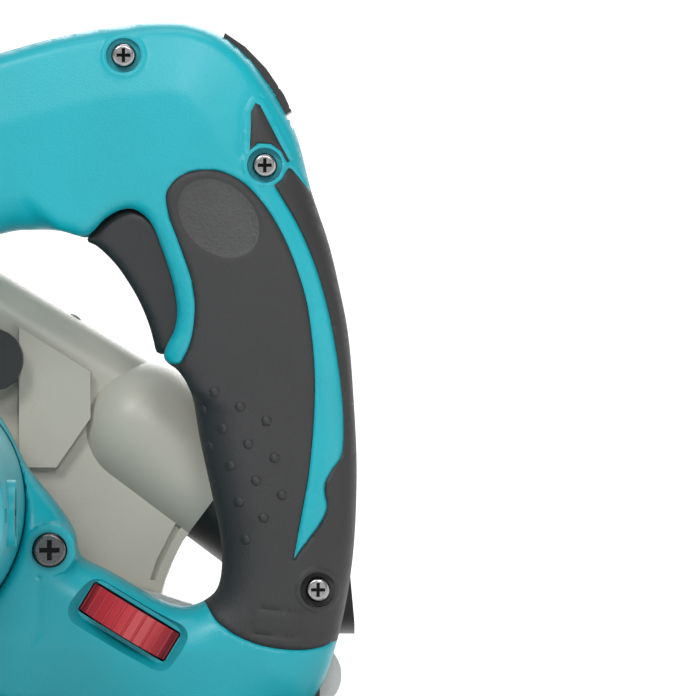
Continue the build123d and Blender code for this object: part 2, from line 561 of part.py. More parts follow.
def make_blade_case():
    outer = case_profile()
    room = rounded_rim(case_profile(CASE_WALL), CASE_IN + CASE_WALL, CASE_OUT - CASE_WALL, CASE_ROUND - CASE_WALL)
    case = rounded_rim(outer, CASE_IN, CASE_OUT - CASE_WALL, CASE_ROUND) - room
    bulge = rod(along_duct(-30), along_duct(0), DUCT_R) + Pos(*along_duct(-30)) * Sphere(DUCT_R)
    bulge = bulge & block(0, 140, CASE_IN - 12, CASE_OUT - CASE_WALL, 60, 200)
    case += bulge
    case += block(88, PIVOT_X, CASE_IN, LUG_END, 14, PIVOT_Z + 7.5) + disc(PIVOT_X, PIVOT_Z, 7.5, CASE_IN, LUG_END)
    case += block(PIVOT_X - 8, 149, CASE_IN, LUG_END, 14, 46)
    pad = make_face(Polyline((47, 118.2), (58.2, 118.2), (68.5, 133), (68.5, 147), (47, 160.5), close=True))
    case += slab(pad, CASE_IN - 4, CASE_IN)
    case += disc(34, 152, 11, CASE_IN - 4, CASE_IN)
    hollow = rod(along_duct(-30), along_duct(1), DUCT_R - 3) + Pos(*along_duct(-30)) * Sphere(DUCT_R - 3)
    case -= hollow & block(0, 140, CASE_IN - 12, CASE_OUT, 60, 200)
    case -= rod(along_duct(-7), along_duct(1), 18.8)
    case -= room
    case -= block(-86.9, 86.4, CASE_IN + CASE_WALL, CASE_OUT, 5, 20)
    case -= block(-100, 100, 57, CASE_OUT + 1, 0, 14)
    case -= arc_band(REACH, 36, 167.4, PLUNGE, CASE_IN, CASE_IN + CASE_WALL)
    case -= disc(PIVOT_X, PIVOT_Z, 5.05, CASE_IN, LUG_END)
    case -= disc(*HEAD_LOCK, 3.05, CASE_IN - 4, CASE_IN + 1)
    for x, z in COVER_SCREWS:
        case += disc(x, z, COVER_BOSS, CASE_IN + 10, CASE_OUT - CASE_WALL)
        case -= disc(x, z, 1.75, CASE_IN + 10.5, CASE_OUT - CASE_WALL)
    for y, z in REAR_SCREWS:
        case -= across(143, 149, y, z, 2)
    for shape, y_low, y_high in ((REAR_GROOVE, CASE_IN, CASE_IN + 1.8), (REAR_NOTCH, CASE_IN, CASE_IN + 2)):
        case -= slab(make_face(Polyline(*shape, close=True)), y_low, y_high)
    keep("blade_case", case)

    cover = slab(outer, CASE_OUT - CASE_WALL, CASE_OUT)
    side = rod(along_duct(-30), along_duct(0), DUCT_R) + Pos(*along_duct(-30)) * Sphere(DUCT_R)
    cover += side & block(0, 140, CASE_OUT - CASE_WALL, CASE_OUT + 12, 60, 200)
    cover -= rod(along_duct(-30), along_duct(1), DUCT_R - 3) + Pos(*along_duct(-30)) * Sphere(DUCT_R - 3)
    cover -= rod(along_duct(-7), along_duct(1), 18.8)
    cover -= block(-100, 100, CASE_OUT - CASE_WALL, CASE_OUT + 1, 0, 14)
    window = Pos(-62, 34) * SlotOverall(36, 10)
    cover -= slab(window, CASE_OUT - CASE_WALL, CASE_OUT)
    for x, z in COVER_SCREWS:
        cover += disc(x, z, COVER_BOSS, CASE_OUT - CASE_WALL, CASE_OUT)
        cover -= disc(x, z, 1.75, CASE_OUT - CASE_WALL, CASE_OUT)
    keep("case_cover", cover)
    screws = None
    for x, z in COVER_SCREWS:
        head = disc(x, z, 3.2, CASE_OUT, CASE_OUT + 2) - cross_recess(x, z, CASE_OUT + 1, 3.6, 1)
        screw = head + disc(x, z, 1.7, CASE_OUT - 10, CASE_OUT)
        screws = screw if screws is None else screws + screw
    keep("case_cover_screws", screws)
    keep("sight_window", slab(window, CASE_OUT - CASE_WALL + 0.5, CASE_OUT - 0.5))


def make_nozzle():
    path = [along_duct(-6), (122, 62.5, 101.6), (130, 62.5, 86), (148, 62.5, 86)]
    outside, inside = None, None
    for start, end in zip(path, path[1:]):
        wide = rod(start, end, 18.4)
        narrow = rod(start, end, 16)
        outside = wide if outside is None else outside + wide
        inside = narrow if inside is None else inside + narrow
    for point in path[1:3]:
        outside += Pos(*point) * Sphere(18.4)
        inside += Pos(*point) * Sphere(16)
    beyond = Polyline((147.9, 60), (147.9, 70.6), (144.6, 106), (160, 106), (160, 60), close=True)
    keep("dust_nozzle", outside - inside - slab(make_face(beyond), 40, 85))


# ---------------------------------------------------------------- tilt brackets, plunge pivot and depth stop
def clamp_point(tilt=0.0):
    """Where the clamp bolt crosses the quadrant, in y and z, for a tilt in degrees."""
    a = math.radians(CLAMP_REST - tilt)
    return BEVEL_Y - CLAMP_R * math.sin(a), CLAMP_R * math.cos(a)


def plate(sketch, x_low, x_high):
    """A plate across X from a sketch drawn in y and z."""
    frame = Plane(origin=(x_low, 0, 0), x_dir=(0, 1, 0), z_dir=(1, 0, 0))
    return extrude(frame * sketch, amount=x_high - x_low)


def tilt_plate(y0, y1, z0, z1):
    corners = [(y0, z0), (y1, z0), (y1, z1), (y0, z1)]
    edges = (Pos(*clamp_point()) * Circle(9)).edges()
    for y, z in corners:
        edges += (Pos(y, z) * Circle(2)).edges()
    return make_hull(edges)


def quadrant(x_low, x_high, foot_low, foot_high):
    body = (Pos(BEVEL_Y, 0) * Circle(QUADRANT_R)) & (Pos(41, 26) * Rectangle(54, 44))
    body -= SlotArc(CenterArc((BEVEL_Y, 0), CLAMP_R, 92.5, 52), 8)
    foot = block(foot_low, foot_high, 14, 68, 4, 7)
    for y in (20, 44):
        foot -= upright((foot_low + foot_high) / 2, y, 4, 7, 1.8)
    return plate(body, x_low, x_high) + foot


def upright_screw(x, y, z):
    screw = upright(x, y, z, z + 2.2, 3.2) + upright(x, y, z - 5, z, 1.7)
    return screw - block(x - 0.5, x + 0.5, y - 2.2, y + 2.2, z + 1.2, z + 2.2)


def lobed_knob(x_low, x_high, y, z, r):
    body = Pos(y, z) * Circle(r)
    for i in range(6):
        body -= Pos(y, z) * Rot(0, 0, 60 * i) * Pos(r + 2.2, 0) * Circle(4.2)
    return plate(body, x_low, x_high)


def make_tilt():
    y, z = clamp_point()
    front = plate(tilt_plate(56, 69, 22, 78), -98, -95) + block(-95, -90, 54, 71, 26, 80)
    front -= across(-98, -95, y, z, 3.05)
    rear = plate(tilt_plate(52, 58, 18, 44), 149, 152)
    rear -= across(149, 152, y, z, 3.05)
    for by, bz in FRONT_SCREWS:
        front -= across(-98, -90, by, bz, 2.2)
    for by, bz in REAR_SCREWS:
        rear -= across(149, 152, by, bz, 2.2) + across(150.4, 152, by, bz, 3.2)
    keep("front_tilt_bracket", front)
    keep("rear_tilt_bracket", rear)
    screws = None
    for by, bz in FRONT_SCREWS:
        screw = across(-100.4, -98, by, bz, 4) + across(-98, -90.2, by, bz, 2)
        screws = screw if screws is None else screws + screw
    for by, bz in REAR_SCREWS:
        screws += across(150.4, 151.9, by, bz, 3) + across(143, 150.4, by, bz, 2)
    keep("bracket_screws", screws)
    keep("front_quadrant", quadrant(-101.6, -98.6, -112, -101.6))
    keep("rear_quadrant", quadrant(152.6, 155.6, 155.6, 166))
    feet = None
    for x in (-106.8, 160.8):
        for fy in (20, 44):
            screw = upright_screw(x, fy, 7)
            feet = screw if feet is None else feet + screw
    keep("quadrant_screws", feet)
    bolts = across(-120, -95, y, z, 3) + across(-95, -91.5, y, z, 5.5)
    bolts += across(149, 174, y, z, 3) + across(145.5, 149, y, z, 5.5)
    keep("clamp_bolts", bolts)
    front_knob = lobed_knob(-124, -106, y, z, 13) + across(-106, -102, y, z, 8)
    keep("front_clamp_knob", front_knob - across(-120.2, -100, y, z, 3.05))
    rear_knob = lobed_knob(160, 178, y, z, 13) + across(156, 160, y, z, 8)
    keep("rear_clamp_knob", rear_knob - across(150, 174.2, y, z, 3.05))


def make_pivot():
    pin = disc(PIVOT_X, PIVOT_Z, 5, GEAR_FACE + 1, LUG_END + 10)
    pin += disc(PIVOT_X, PIVOT_Z, 6.6, LUG_END + 0.1, LUG_END + 1.2)
    pin += disc(PIVOT_X, PIVOT_Z, 6.6, LUG_END + 8.8, LUG_END + 10)
    keep("pivot_pin", pin)
    path = Helix(pitch=2.1, height=4.2, radius=6.2, center=(PIVOT_X, LUG_END + 2.9, PIVOT_Z),
                 direction=(0, 1, 0))
    wire = Plane(origin=path @ 0, z_dir=path % 0) * Circle(0.8)
    keep("return_spring", sweep(wire, path=path))


def make_depth_stop():
    scale = arc_band(208, 12, STOP_REST, 26, CASE_IN - 1.5, CASE_IN)
    for i in range(14):
        x, z = about_pivot(204, STOP_REST + 2 * i)
        a = math.radians(STOP_REST + 2 * i)
        mark = Plane(origin=(x, CASE_IN - 1.5, z), x_dir=(math.cos(a), 0, math.sin(a)), z_dir=(0, -1, 0))
        scale -= extrude(mark * Rectangle(3.5, 0.6), amount=-0.4)
    keep("depth_scale", scale)
    x, z = about_pivot(208, SLIDER_REST)
    slider = arc_band(208, 15, SLIDER_REST - 2, 4, CASE_IN - 5, CASE_IN - 1.8)
    slider -= disc(x, z, 1.6, CASE_IN - 5, CASE_IN - 1.8)
    keep("depth_stop", slider)
    knob = disc(x, z, 6.5, CASE_IN - 14, CASE_IN - 5.1) + disc(x, z, 1.5, CASE_IN - 5.1, CASE_IN - 1.9)
    grip = [Rot(0, 0, 30 * i) * Pos(6.8, 0) * Circle(1.0) for i in range(12)]
    keep("depth_stop_knob", knob - slab(Pos(x, z) * (Sketch() + grip), CASE_IN - 14, CASE_IN - 5.1))
    lever = disc(*HEAD_LOCK, 9.4, CASE_IN - 10.5, CASE_IN - 4.2) + disc(*HEAD_LOCK, 3, CASE_IN - 4.2, CASE_IN)
    lever += slab(Pos(32, 157.6) * Rot(0, 0, 135) * SlotOverall(20, 8), CASE_IN - 10.5, CASE_IN - 5.5)
    keep("head_lock_lever", lever)


# ---------------------------------------------------------------- base plate and its fittings
def make_base():
    deck = block(SOLE_X0, SOLE_X1, SOLE_Y0, SOLE_Y1, 0, DECK)
    deck -= block(NOTCH_X0, NOTCH_X1, NOTCH_Y, SOLE_Y1, 0, DECK)
    corners = deck.edges().filter_by(Axis.Z).group_by(Axis.X)
    deck = fillet(corners[0] + corners[-1], 10)
    deck += block(SOLE_X0, SOLE_X1, RAIL_Y0 - 3, RAIL_Y1 + 3, DECK, RAIL_TOP)
    deck += block(SOLE_X0 + 8, SOLE_X1 - 8, SOLE_Y0 + 1, SOLE_Y0 + 5, DECK, DECK + 3)
    deck += block(-90, 90, NOTCH_Y - 8, NOTCH_Y - 6, DECK, DECK + 1.2)
    deck -= block(SOLE_X0, SOLE_X1, RAIL_Y0, RAIL_Y1, 0, RAIL_TOP - 2.5)
    for x in CAM_X:
        deck -= upright(x, CAM_Y, 0, RAIL_TOP, 2.55)
        deck -= upright(x, CAM_Y, 0, RAIL_TOP - 2.5, 4.6)
    for x in (-106.8, 160.8):
        for y in (20, 44):
            deck -= upright(x, y, 0, DECK, 1.75)
    keep("base_plate", deck)
    for name, x in zip(("rail_cam_front", "rail_cam_rear"), CAM_X):
        knob = Pos(x, CAM_Y) * Circle(9)
        for i in range(8):
            knob -= Pos(x, CAM_Y) * Rot(0, 0, 45 * i) * Pos(10.4, 0) * Circle(2.6)
        cam = extrude(Pos(0, 0, RAIL_TOP + 0.3) * knob, amount=8)
        cam += upright(x, CAM_Y, 1.2, RAIL_TOP + 0.4, 2.5)
        cam += upright(x, CAM_Y + 0.8, 1.2, RAIL_TOP - 2.8, 3.4)
        keep(name, cam)


def make_wrench():
    x, y, z = WRENCH
    long_arm = rod((x, y, z), (x + 78, y, z), 2.5)
    short_arm = rod((x, y, z), (x, y + 24, z), 2.5) + Pos(x, y, z) * Sphere(2.5)
    keep("hex_wrench", long_arm + short_arm)
    clip = block(x + 18, x + 30, y - 5, y + 5, DECK, z + 3.6)
    clip += block(x + 52, x + 64, y - 5, y + 5, DECK, z + 3.6)
    clip += block(x + 18, x + 64, y - 5, y + 5, DECK, DECK + 1.2)
    clip -= rod((x, y, z), (x + 78, y, z), 2.6) + block(x, x + 78, y - 2.1, y + 2.1, z, z + 4)
    keep("wrench_clip", clip)


def make_front_handle():
    stem = rod((-34, HANDLE_Y, 176), (-68, HANDLE_Y, 208), 9)
    stem += disc(-36, 178, 16, HANDLE_Y - 12, HANDLE_Y + 12) & block(-56, -39.6, 4, 40, 150, 200)
    halves = PARTS["handle_left_half"] + PARTS["handle_right_half"]
    stem -= halves
    if len(stem.solids()) > 1:
        stem = stem.solids().sort_by(SortBy.VOLUME)[-1]
    keep("front_handle", stem)
    knob = Pos(-74, HANDLE_Y, 213) * Sphere(19)
    knob -= stem
    keep("front_handle_grip", knob)


# ---------------------------------------------------------------- all pieces, one file each
make_handle()
make_handle_fittings()
make_motor_shell()
make_brushes()
make_rotor()
make_stator()
make_gear_housing()
make_blade_set()
make_blade_case()
make_nozzle()
make_tilt()
make_pivot()
make_depth_stop()
make_base()
make_wrench()
make_front_handle()

os.makedirs("parts", exist_ok=True)
for name, shape in PARTS.items():
    export_step(shape, f"parts/{name}.step")
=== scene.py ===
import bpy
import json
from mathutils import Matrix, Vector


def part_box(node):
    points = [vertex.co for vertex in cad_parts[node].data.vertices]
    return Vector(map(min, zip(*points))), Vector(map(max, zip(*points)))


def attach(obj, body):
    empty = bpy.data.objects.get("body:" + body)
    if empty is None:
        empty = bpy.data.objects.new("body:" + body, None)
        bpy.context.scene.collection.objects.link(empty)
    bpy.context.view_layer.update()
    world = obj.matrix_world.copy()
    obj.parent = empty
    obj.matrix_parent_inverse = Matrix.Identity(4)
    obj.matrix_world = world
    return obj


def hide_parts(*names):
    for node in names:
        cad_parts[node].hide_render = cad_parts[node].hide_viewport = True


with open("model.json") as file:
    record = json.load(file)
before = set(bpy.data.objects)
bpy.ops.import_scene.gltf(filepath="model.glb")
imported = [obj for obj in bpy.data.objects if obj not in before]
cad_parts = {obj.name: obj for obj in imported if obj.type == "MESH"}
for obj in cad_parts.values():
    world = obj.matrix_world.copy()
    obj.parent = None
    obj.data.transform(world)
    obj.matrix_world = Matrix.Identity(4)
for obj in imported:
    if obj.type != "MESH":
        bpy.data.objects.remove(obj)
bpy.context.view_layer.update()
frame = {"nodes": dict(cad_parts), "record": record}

import bpy
import bmesh
import json
import math
import numpy as np
from mathutils import Vector
from mathutils.geometry import delaunay_2d_cdt

MM = 0.001
record = frame["record"]

# ---------------------------------------------------------------- places taken from the frame, in millimetres
handle_low, handle_high = (np.array(c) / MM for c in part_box("handle_left_half"))
FACE_Y = handle_low[1]                      # motor-side face of the handle
PART_Y = handle_high[1]                     # parting plane between its halves
HALF = PART_Y - FACE_Y
DIAL_TILT = -31.3                           # of the speed dial, degrees
motor_low, motor_high = (np.array(c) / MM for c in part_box("motor_rear_cover"))
MOTOR = ((motor_low[0] + motor_high[0]) / 2, (motor_low[2] + motor_high[2]) / 2)
MOTOR_R = (motor_high[0] - motor_low[0]) / 2
dial_low, dial_high = (np.array(c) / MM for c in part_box("speed_dial"))
DIAL = (dial_low + dial_high) / 2

# ---------------------------------------------------------------- camera, floor and light
VIEW_CENTRE = (0.1459, 0.1541)              # x and z in the middle of the view
VIEW_WIDTH = 0.2047
VIEW_DISTANCE = 2.0
FLOOR_HALF = 12.0                           # half width of the backdrop, and its height
FLOOR_BACK = 5.0                            # where the floor starts to sweep up
SWEEP_R, SWEEP_STEPS = 2.0, 12


def make_camera():
    """Looks straight at the motor side of the handle."""
    data = bpy.data.cameras.new("camera")
    camera = bpy.data.objects.new("camera", data)
    bpy.context.scene.collection.objects.link(camera)
    camera.location = (VIEW_CENTRE[0], FACE_Y * MM - VIEW_DISTANCE, VIEW_CENTRE[1])
    camera.rotation_euler = (math.pi / 2, 0, 0)
    data.sensor_width = 36
    data.lens = data.sensor_width * VIEW_DISTANCE / VIEW_WIDTH
    data.clip_start = 0.05
    data.clip_end = 60
    bpy.context.scene.camera = camera


def area_light(name, place, target, size, watts):
    data = bpy.data.lights.new(name, "AREA")
    data.shape = "DISK"
    data.size = size
    data.energy = watts
    light = bpy.data.objects.new(name, data)
    bpy.context.scene.collection.objects.link(light)
    light.location = place
    light.rotation_euler = (Vector(target) - Vector(place)).to_track_quat("-Z", "Y").to_euler()


def make_studio():
    """A white floor that sweeps up into a backdrop, and five soft lights."""
    world = bpy.data.worlds.new("studio")
    bpy.context.scene.world = world
    world.use_nodes = True
    background = world.node_tree.nodes["Background"]
    background.inputs["Color"].default_value = (1, 1, 1, 1)
    background.inputs["Strength"].default_value = 0.25
    bpy.context.scene.view_settings.view_transform = "Standard"
    mesh = bpy.data.meshes.new("floor")
    rows = []
    for i in range(SWEEP_STEPS + 1):
        turn = math.pi / 2 * i / SWEEP_STEPS
        rows.append((FLOOR_BACK + SWEEP_R * math.sin(turn), SWEEP_R * (1 - math.cos(turn))))
    profile = [(-FLOOR_HALF, 0.0)] + rows + [(FLOOR_BACK + SWEEP_R, FLOOR_HALF)]
    points = [(x, y, z) for y, z in profile for x in (-FLOOR_HALF, FLOOR_HALF)]
    faces = [(2 * i, 2 * i + 1, 2 * i + 3, 2 * i + 2) for i in range(len(profile) - 1)]
    mesh.from_pydata(points, [], faces)
    mesh.polygons.foreach_set("use_smooth", [True] * len(mesh.polygons))
    floor = bpy.data.objects.new("floor", mesh)
    bpy.context.scene.collection.objects.link(floor)
    paint = bpy.data.materials.new("floor_paint")
    paint.use_nodes = True
    shader = paint.node_tree.nodes["Principled BSDF"]
    shader.inputs["Base Color"].default_value = (0.5, 0.5, 0.5, 1)
    shader.inputs["Roughness"].default_value = 0.9
    shader.inputs["Emission Color"].default_value = (1, 1, 1, 1)
    shader.inputs["Emission Strength"].default_value = 0.9
    mesh.materials.append(paint)
    area_light("key", (-0.7, -1.5, 1.5), (0.05, 0, 0.15), 0.7, 21)
    area_light("band", (0.35, -2.2, 1.15), (0.08, 0, 0.2), 0.5, 15)
    area_light("top", (0.2, -0.2, 1.6), (0.08, 0, 0.15), 1.0, 8)
    area_light("fill", (1.6, -1.0, 0.4), (0.1, 0, 0.15), 0.8, 4)
    area_light("back", (0.4, 1.4, 1.0), (0.0, 0, 0.15), 1.2, 12)


# ---------------------------------------------------------------- materials
ROUGH_SPREAD = 0.06                         # how far the roughness strays either way


def surface(name, colour, roughness, metallic=0.0, grain=1500.0, bump=0.04, tint=0.06, coat=0.0):
    """A moulded or metal surface: fine grain in the bump, slow change in colour and roughness."""
    material = bpy.data.materials.new(name)
    material.use_nodes = True
    tree = material.node_tree
    shader = tree.nodes["Principled BSDF"]
    shader.inputs["Metallic"].default_value = metallic
    shader.inputs["Coat Weight"].default_value = coat
    shader.inputs["Coat Roughness"].default_value = 0.25
    shader.inputs["Specular IOR Level"].default_value = 0.4
    place = tree.nodes.new("ShaderNodeTexCoord")
    slow = tree.nodes.new("ShaderNodeTexNoise")
    slow.inputs["Scale"].default_value = 22.0
    slow.inputs["Detail"].default_value = 4.0
    fine = tree.nodes.new("ShaderNodeTexNoise")
    fine.inputs["Scale"].default_value = grain
    fine.inputs["Detail"].default_value = 2.0
    for noise in (slow, fine):
        tree.links.new(place.outputs["Object"], noise.inputs["Vector"])
    ramp = tree.nodes.new("ShaderNodeValToRGB")
    dark = [c * (1 - tint) for c in colour]
    light = [min(1.0, c * (1 + tint)) for c in colour]
    ramp.color_ramp.elements[0].position = 0.3
    ramp.color_ramp.elements[1].position = 0.7
    ramp.color_ramp.elements[0].color = (*dark, 1)
    ramp.color_ramp.elements[1].color = (*light, 1)
    tree.links.new(slow.outputs["Fac"], ramp.inputs["Fac"])
    tree.links.new(ramp.outputs["Color"], shader.inputs["Base Color"])
    rough = tree.nodes.new("ShaderNodeMapRange")
    rough.inputs["To Min"].default_value = max(0.05, roughness - ROUGH_SPREAD)
    rough.inputs["To Max"].default_value = min(1.0, roughness + ROUGH_SPREAD)
    tree.links.new(fine.outputs["Fac"], rough.inputs["Value"])
    tree.links.new(rough.outputs["Result"], shader.inputs["Roughness"])
    relief = tree.nodes.new("ShaderNodeBump")
    relief.inputs["Strength"].default_value = 1.0
    relief.inputs["Distance"].default_value = bump * MM
    tree.links.new(fine.outputs["Fac"], relief.inputs["Height"])
    tree.links.new(relief.outputs["Normal"], shader.inputs["Normal"])
    return material


def ground_steel(name, colour, roughness):
    """Steel with the fine circular grinding lines of a saw blade."""
    material = surface(name, colour, roughness, metallic=1.0, grain=700, bump=0.01, tint=0.1)
    tree = material.node_tree
    place = tree.nodes.new("ShaderNodeTexCoord")
    rings = tree.nodes.new("ShaderNodeTexWave")
    rings.wave_type = "RINGS"
    rings.rings_direction = "SPHERICAL"
    rings.inputs["Scale"].default_value = 260.0
    rings.inputs["Distortion"].default_value = 1.5
    low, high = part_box("saw_blade")
    shift = tree.nodes.new("ShaderNodeVectorMath")
    shift.operation = "SUBTRACT"
    shift.inputs[1].default_value = [(a + b) / 2 for a, b in zip(low, high)]
    tree.links.new(place.outputs["Object"], shift.inputs[0])
    tree.links.new(shift.outputs["Vector"], rings.inputs["Vector"])
    relief = next(node for node in tree.nodes if node.bl_idname == "ShaderNodeBump")
    tree.links.new(rings.outputs["Fac"], relief.inputs["Height"])
    return material


def make_materials():
    return {
        "teal_plastic": surface("teal_plastic", (0.0, 0.305, 0.365), 0.40, grain=1900, bump=0.07, coat=0.1),
        "soft_rubber": surface("soft_rubber", (0.022, 0.022, 0.023), 0.55, grain=1500, bump=0.10, tint=0.12),
        "black_plastic": surface("black_plastic", (0.017, 0.017, 0.018), 0.42, grain=2400, bump=0.04),
        "red_plastic": surface("red_plastic", (0.42, 0.020, 0.030), 0.24, grain=900, bump=0.01, coat=0.5),
        "cast_case": surface("cast_case", (0.44, 0.425, 0.365), 0.42, grain=1700, bump=0.07, coat=0.1),
        "cast_alloy": surface("cast_alloy", (0.52, 0.52, 0.51), 0.45, metallic=0.85, grain=1300, bump=0.09),
        "machined_steel": surface("machined_steel", (0.50, 0.50, 0.51), 0.28, metallic=1.0,
                                  grain=1100, bump=0.02),
        "dark_steel": surface("dark_steel", (0.20, 0.20, 0.205), 0.30, metallic=1.0, grain=1500, bump=0.03),
        "carbide": surface("carbide", (0.34, 0.34, 0.36), 0.35, metallic=1.0, grain=1800, bump=0.03),
        "copper": surface("copper", (0.58, 0.27, 0.14), 0.32, metallic=1.0, grain=900, bump=0.05),
        "board_green": surface("board_green", (0.02, 0.16, 0.07), 0.35, grain=600, bump=0.02),
        "stipple": surface("stipple", (0.045, 0.045, 0.046), 0.5, grain=1100, bump=0.5, tint=0.3),
        "blade_steel": ground_steel("blade_steel", (0.55, 0.55, 0.56), 0.26),
    }


def screw_steel_recess_shade():
    """Blackened steel, coloured by depth in y: lighter on the tops of the heads, with painted shade making
    the cross recesses below them near black.
    """
    material = surface("screw_steel_recess_shade", (0.20, 0.20, 0.205), 0.28, metallic=1.0, grain=1500, bump=0.03)
    tree = material.node_tree
    shader = tree.nodes["Principled BSDF"]
    place = tree.nodes.new("ShaderNodeTexCoord")
    parts = tree.nodes.new("ShaderNodeSeparateXYZ")
    tree.links.new(place.outputs["Object"], parts.inputs["Vector"])
    depth = tree.nodes.new("ShaderNodeMapRange")
    depth.inputs["From Min"].default_value = 0.0
    depth.inputs["From Max"].default_value = 0.01
    tree.links.new(parts.outputs["Y"], depth.inputs["Value"])
    # painted shade: the ramp turns near black below the lighter head tops, in the cross recesses
    head_tone_and_recess_shade = tree.nodes.new("ShaderNodeValToRGB")
    head_tone_and_recess_shade.color_ramp.interpolation = "CONSTANT"
    head_tone_and_recess_shade.color_ramp.elements[0].color = (0.10, 0.10, 0.103, 1)
    head_tone_and_recess_shade.color_ramp.elements[1].position = 0.145
    head_tone_and_recess_shade.color_ramp.elements[1].color = (0.012, 0.012, 0.013, 1)
    for at, shade in ((0.55, 0.30), (0.60, 0.012)):
        element = head_tone_and_recess_shade.color_ramp.elements.new(at)
        element.color = (shade, shade, shade, 1)
    tree.links.new(depth.outputs["Result"], head_tone_and_recess_shade.inputs["Fac"])
    tree.links.new(head_tone_and_recess_shade.outputs["Color"], shader.inputs["Base Color"])
    return material


def clear_plastic():
    """The sight window, with slight smears in its gloss."""
    material = bpy.data.materials.new("clear_window")
    material.use_nodes = True
    shader = material.node_tree.nodes["Principled BSDF"]
    noise = material.node_tree.nodes.new("ShaderNodeTexNoise")
    noise.inputs["Scale"].default_value = 60.0
    rough = material.node_tree.nodes.new("ShaderNodeMapRange")
    rough.inputs["To Min"].default_value = 0.04
    rough.inputs["To Max"].default_value = 0.12
    material.node_tree.links.new(noise.outputs["Fac"], rough.inputs["Value"])
    material.node_tree.links.new(rough.outputs["Result"], shader.inputs["Roughness"])
    shader.inputs["Base Color"].default_value = (0.85, 0.9, 0.9, 1)
    shader.inputs["Transmission Weight"].default_value = 0.9
    shader.inputs["IOR"].default_value = 1.49
    return material


def paint_frame(materials):
    """Every CAD node takes the material of its slot in the record."""
    for part in record["subparts"]:
        node = frame["nodes"][part["node"]]
        chosen = materials[part["material_slot"]]
        if part["node"] == "saw_blade":
            chosen = materials["blade_steel"]
        # the handle screws take the steel with painted shade in their cross recesses
        if part["node"] == "handle_screws":
            chosen = materials["screw_steel_recess_shade"]
        node.data.materials.clear()
        node.data.materials.append(chosen)


# ---------------------------------------------------------------- outlines, x and z in millimetres
def curve_point(a, b, c, d, t):
    """A point of the smooth curve through b and c, with a before them and d after."""
    return 0.5 * ((2 * b) + (c - a) * t + (2 * a - 5 * b + 4 * c - d) * t * t
                  + (3 * b - a - 3 * c + d) * t ** 3)


def smooth_loop(points, step=1.4):
    """A closed curve through the points, in even short steps."""
    p = np.array(points, float)
    found = []
    count = len(p)
    for i in range(count):
        a, b, c, d = p[i - 1], p[i], p[(i + 1) % count], p[(i + 2) % count]
        pieces = max(2, int(np.linalg.norm(c - b) / step))
        for k in range(pieces):
            t = k / pieces
            found.append(curve_point(a, b, c, d, t))
    return np.array(found)


def straight_loop(corners):
    """A closed loop of straight runs between the corners, each in ten short steps."""
    found = []
    for i, a in enumerate(corners):
        b = corners[(i + 1) % len(corners)]
        for k in range(10):
            found.append((a[0] + (b[0] - a[0]) * k / 10, a[1] + (b[1] - a[1]) * k / 10))
    return np.array(found)


def circle_loop(x, z, r, count=36):
    turns = np.linspace(0, 2 * math.pi, count, endpoint=False)
    return np.stack([x + r * np.cos(turns), z + r * np.sin(turns)], axis=1)


def ellipse_loop(x, z, long_r, short_r, tilt, count=64):
    turns = np.linspace(0, 2 * math.pi, count, endpoint=False)
    a, b = long_r * np.cos(turns), short_r * np.sin(turns)
    c, s = math.cos(math.radians(tilt)), math.sin(math.radians(tilt))
    return np.stack([x + a * c - b * s, z + a * s + b * c], axis=1)


def inside(points, loop):
    """Which of the points lie in the closed loop."""
    x, z = points[:, 0], points[:, 1]
    result = np.zeros(len(points), bool)
    for (x0, z0), (x1, z1) in zip(loop, np.roll(loop, -1, axis=0)):
        if z0 == z1:
            continue
        crosses = (z0 > z) != (z1 > z)
        result ^= crosses & (x < (x1 - x0) * (z - z0) / (z1 - z0) + x0)
    return result


def distance(points, loop, closed=True):
    """How far each point is from the line of the loop."""
    best = np.full(len(points), 1e9)
    ends = np.roll(loop, -1, axis=0) if closed else loop[1:]
    for a, b in zip(loop if closed else loop[:-1], ends):
        run = b - a
        length = max(run @ run, 1e-12)
        t = np.clip(((points - a) @ run) / length, 0, 1)
        gap = points - (a + t[:, None] * run)
        best = np.minimum(best, np.hypot(gap[:, 0], gap[:, 1]))
    return best


OUTER = smooth_loop([
    (-39, 168), (-37, 192), (-18, 215), (10, 231), (43.5, 241.5), (63.1, 246.7), (82.6, 249.9), (94.4, 250.5),
    (102.4, 249.3), (108.8, 246.4), (115.3, 241.2), (120.6, 235), (126.5, 225.9), (131, 216), (135.2, 200),
    (140.1, 185.3), (143.4, 171.6), (145.9, 158.5), (147.4, 141.8), (148.5, 116.8), (147.1, 90.3),
    (142.6, 67.1), (136.5, 51.8), (128, 46), (110, 44), (80, 44.5), (56, 46), (40, 49), (28, 58), (16, 72),
    (0, 92), (-12, 118), (-33, 140),
])
HOLE = smooth_loop([
    (12, 168), (18, 181), (43.5, 188.2), (52, 189.2), (60, 189), (68.6, 187.2), (74.2, 192.2), (78.8, 194.8),
    (82.6, 195.1), (86, 193.1), (88.5, 189.9), (90.6, 184.7), (92.5, 179.4), (94.4, 172.9), (95.4, 167.1),
    (95.4, 162.5), (94.4, 158.5), (92.8, 155.6), (91.6, 151.8), (92.9, 149.6), (96.2, 147), (99.7, 140.4),
    (102.3, 126.1), (105.9, 109.7), (108.1, 98.6), (108.6, 90.5), (107.6, 84), (104.6, 80), (97.7, 77.4),
    (89.2, 79.7), (80.1, 84.9), (74.2, 88.2), (66.6, 92.4), (65, 98.5), (63.1, 102.6), (57.9, 109.7),
    (50.5, 119), (43, 133), (32, 145), (20, 154),
])
TRIGGER_EDGE = [
    (61, 189), (68.6, 187.2), (74.2, 192.2), (78.8, 194.8), (82.6, 195.1), (86, 193.1), (88.5, 189.9),
    (90.6, 184.7), (92.5, 179.4),
    (94.4, 172.9), (95.4, 167.1), (95.4, 162.5), (94.4, 158.5), (92.8, 155.6), (91.6, 151.8), (92.9, 149.6),
    (96.2, 147), (98.6, 142.6),
]
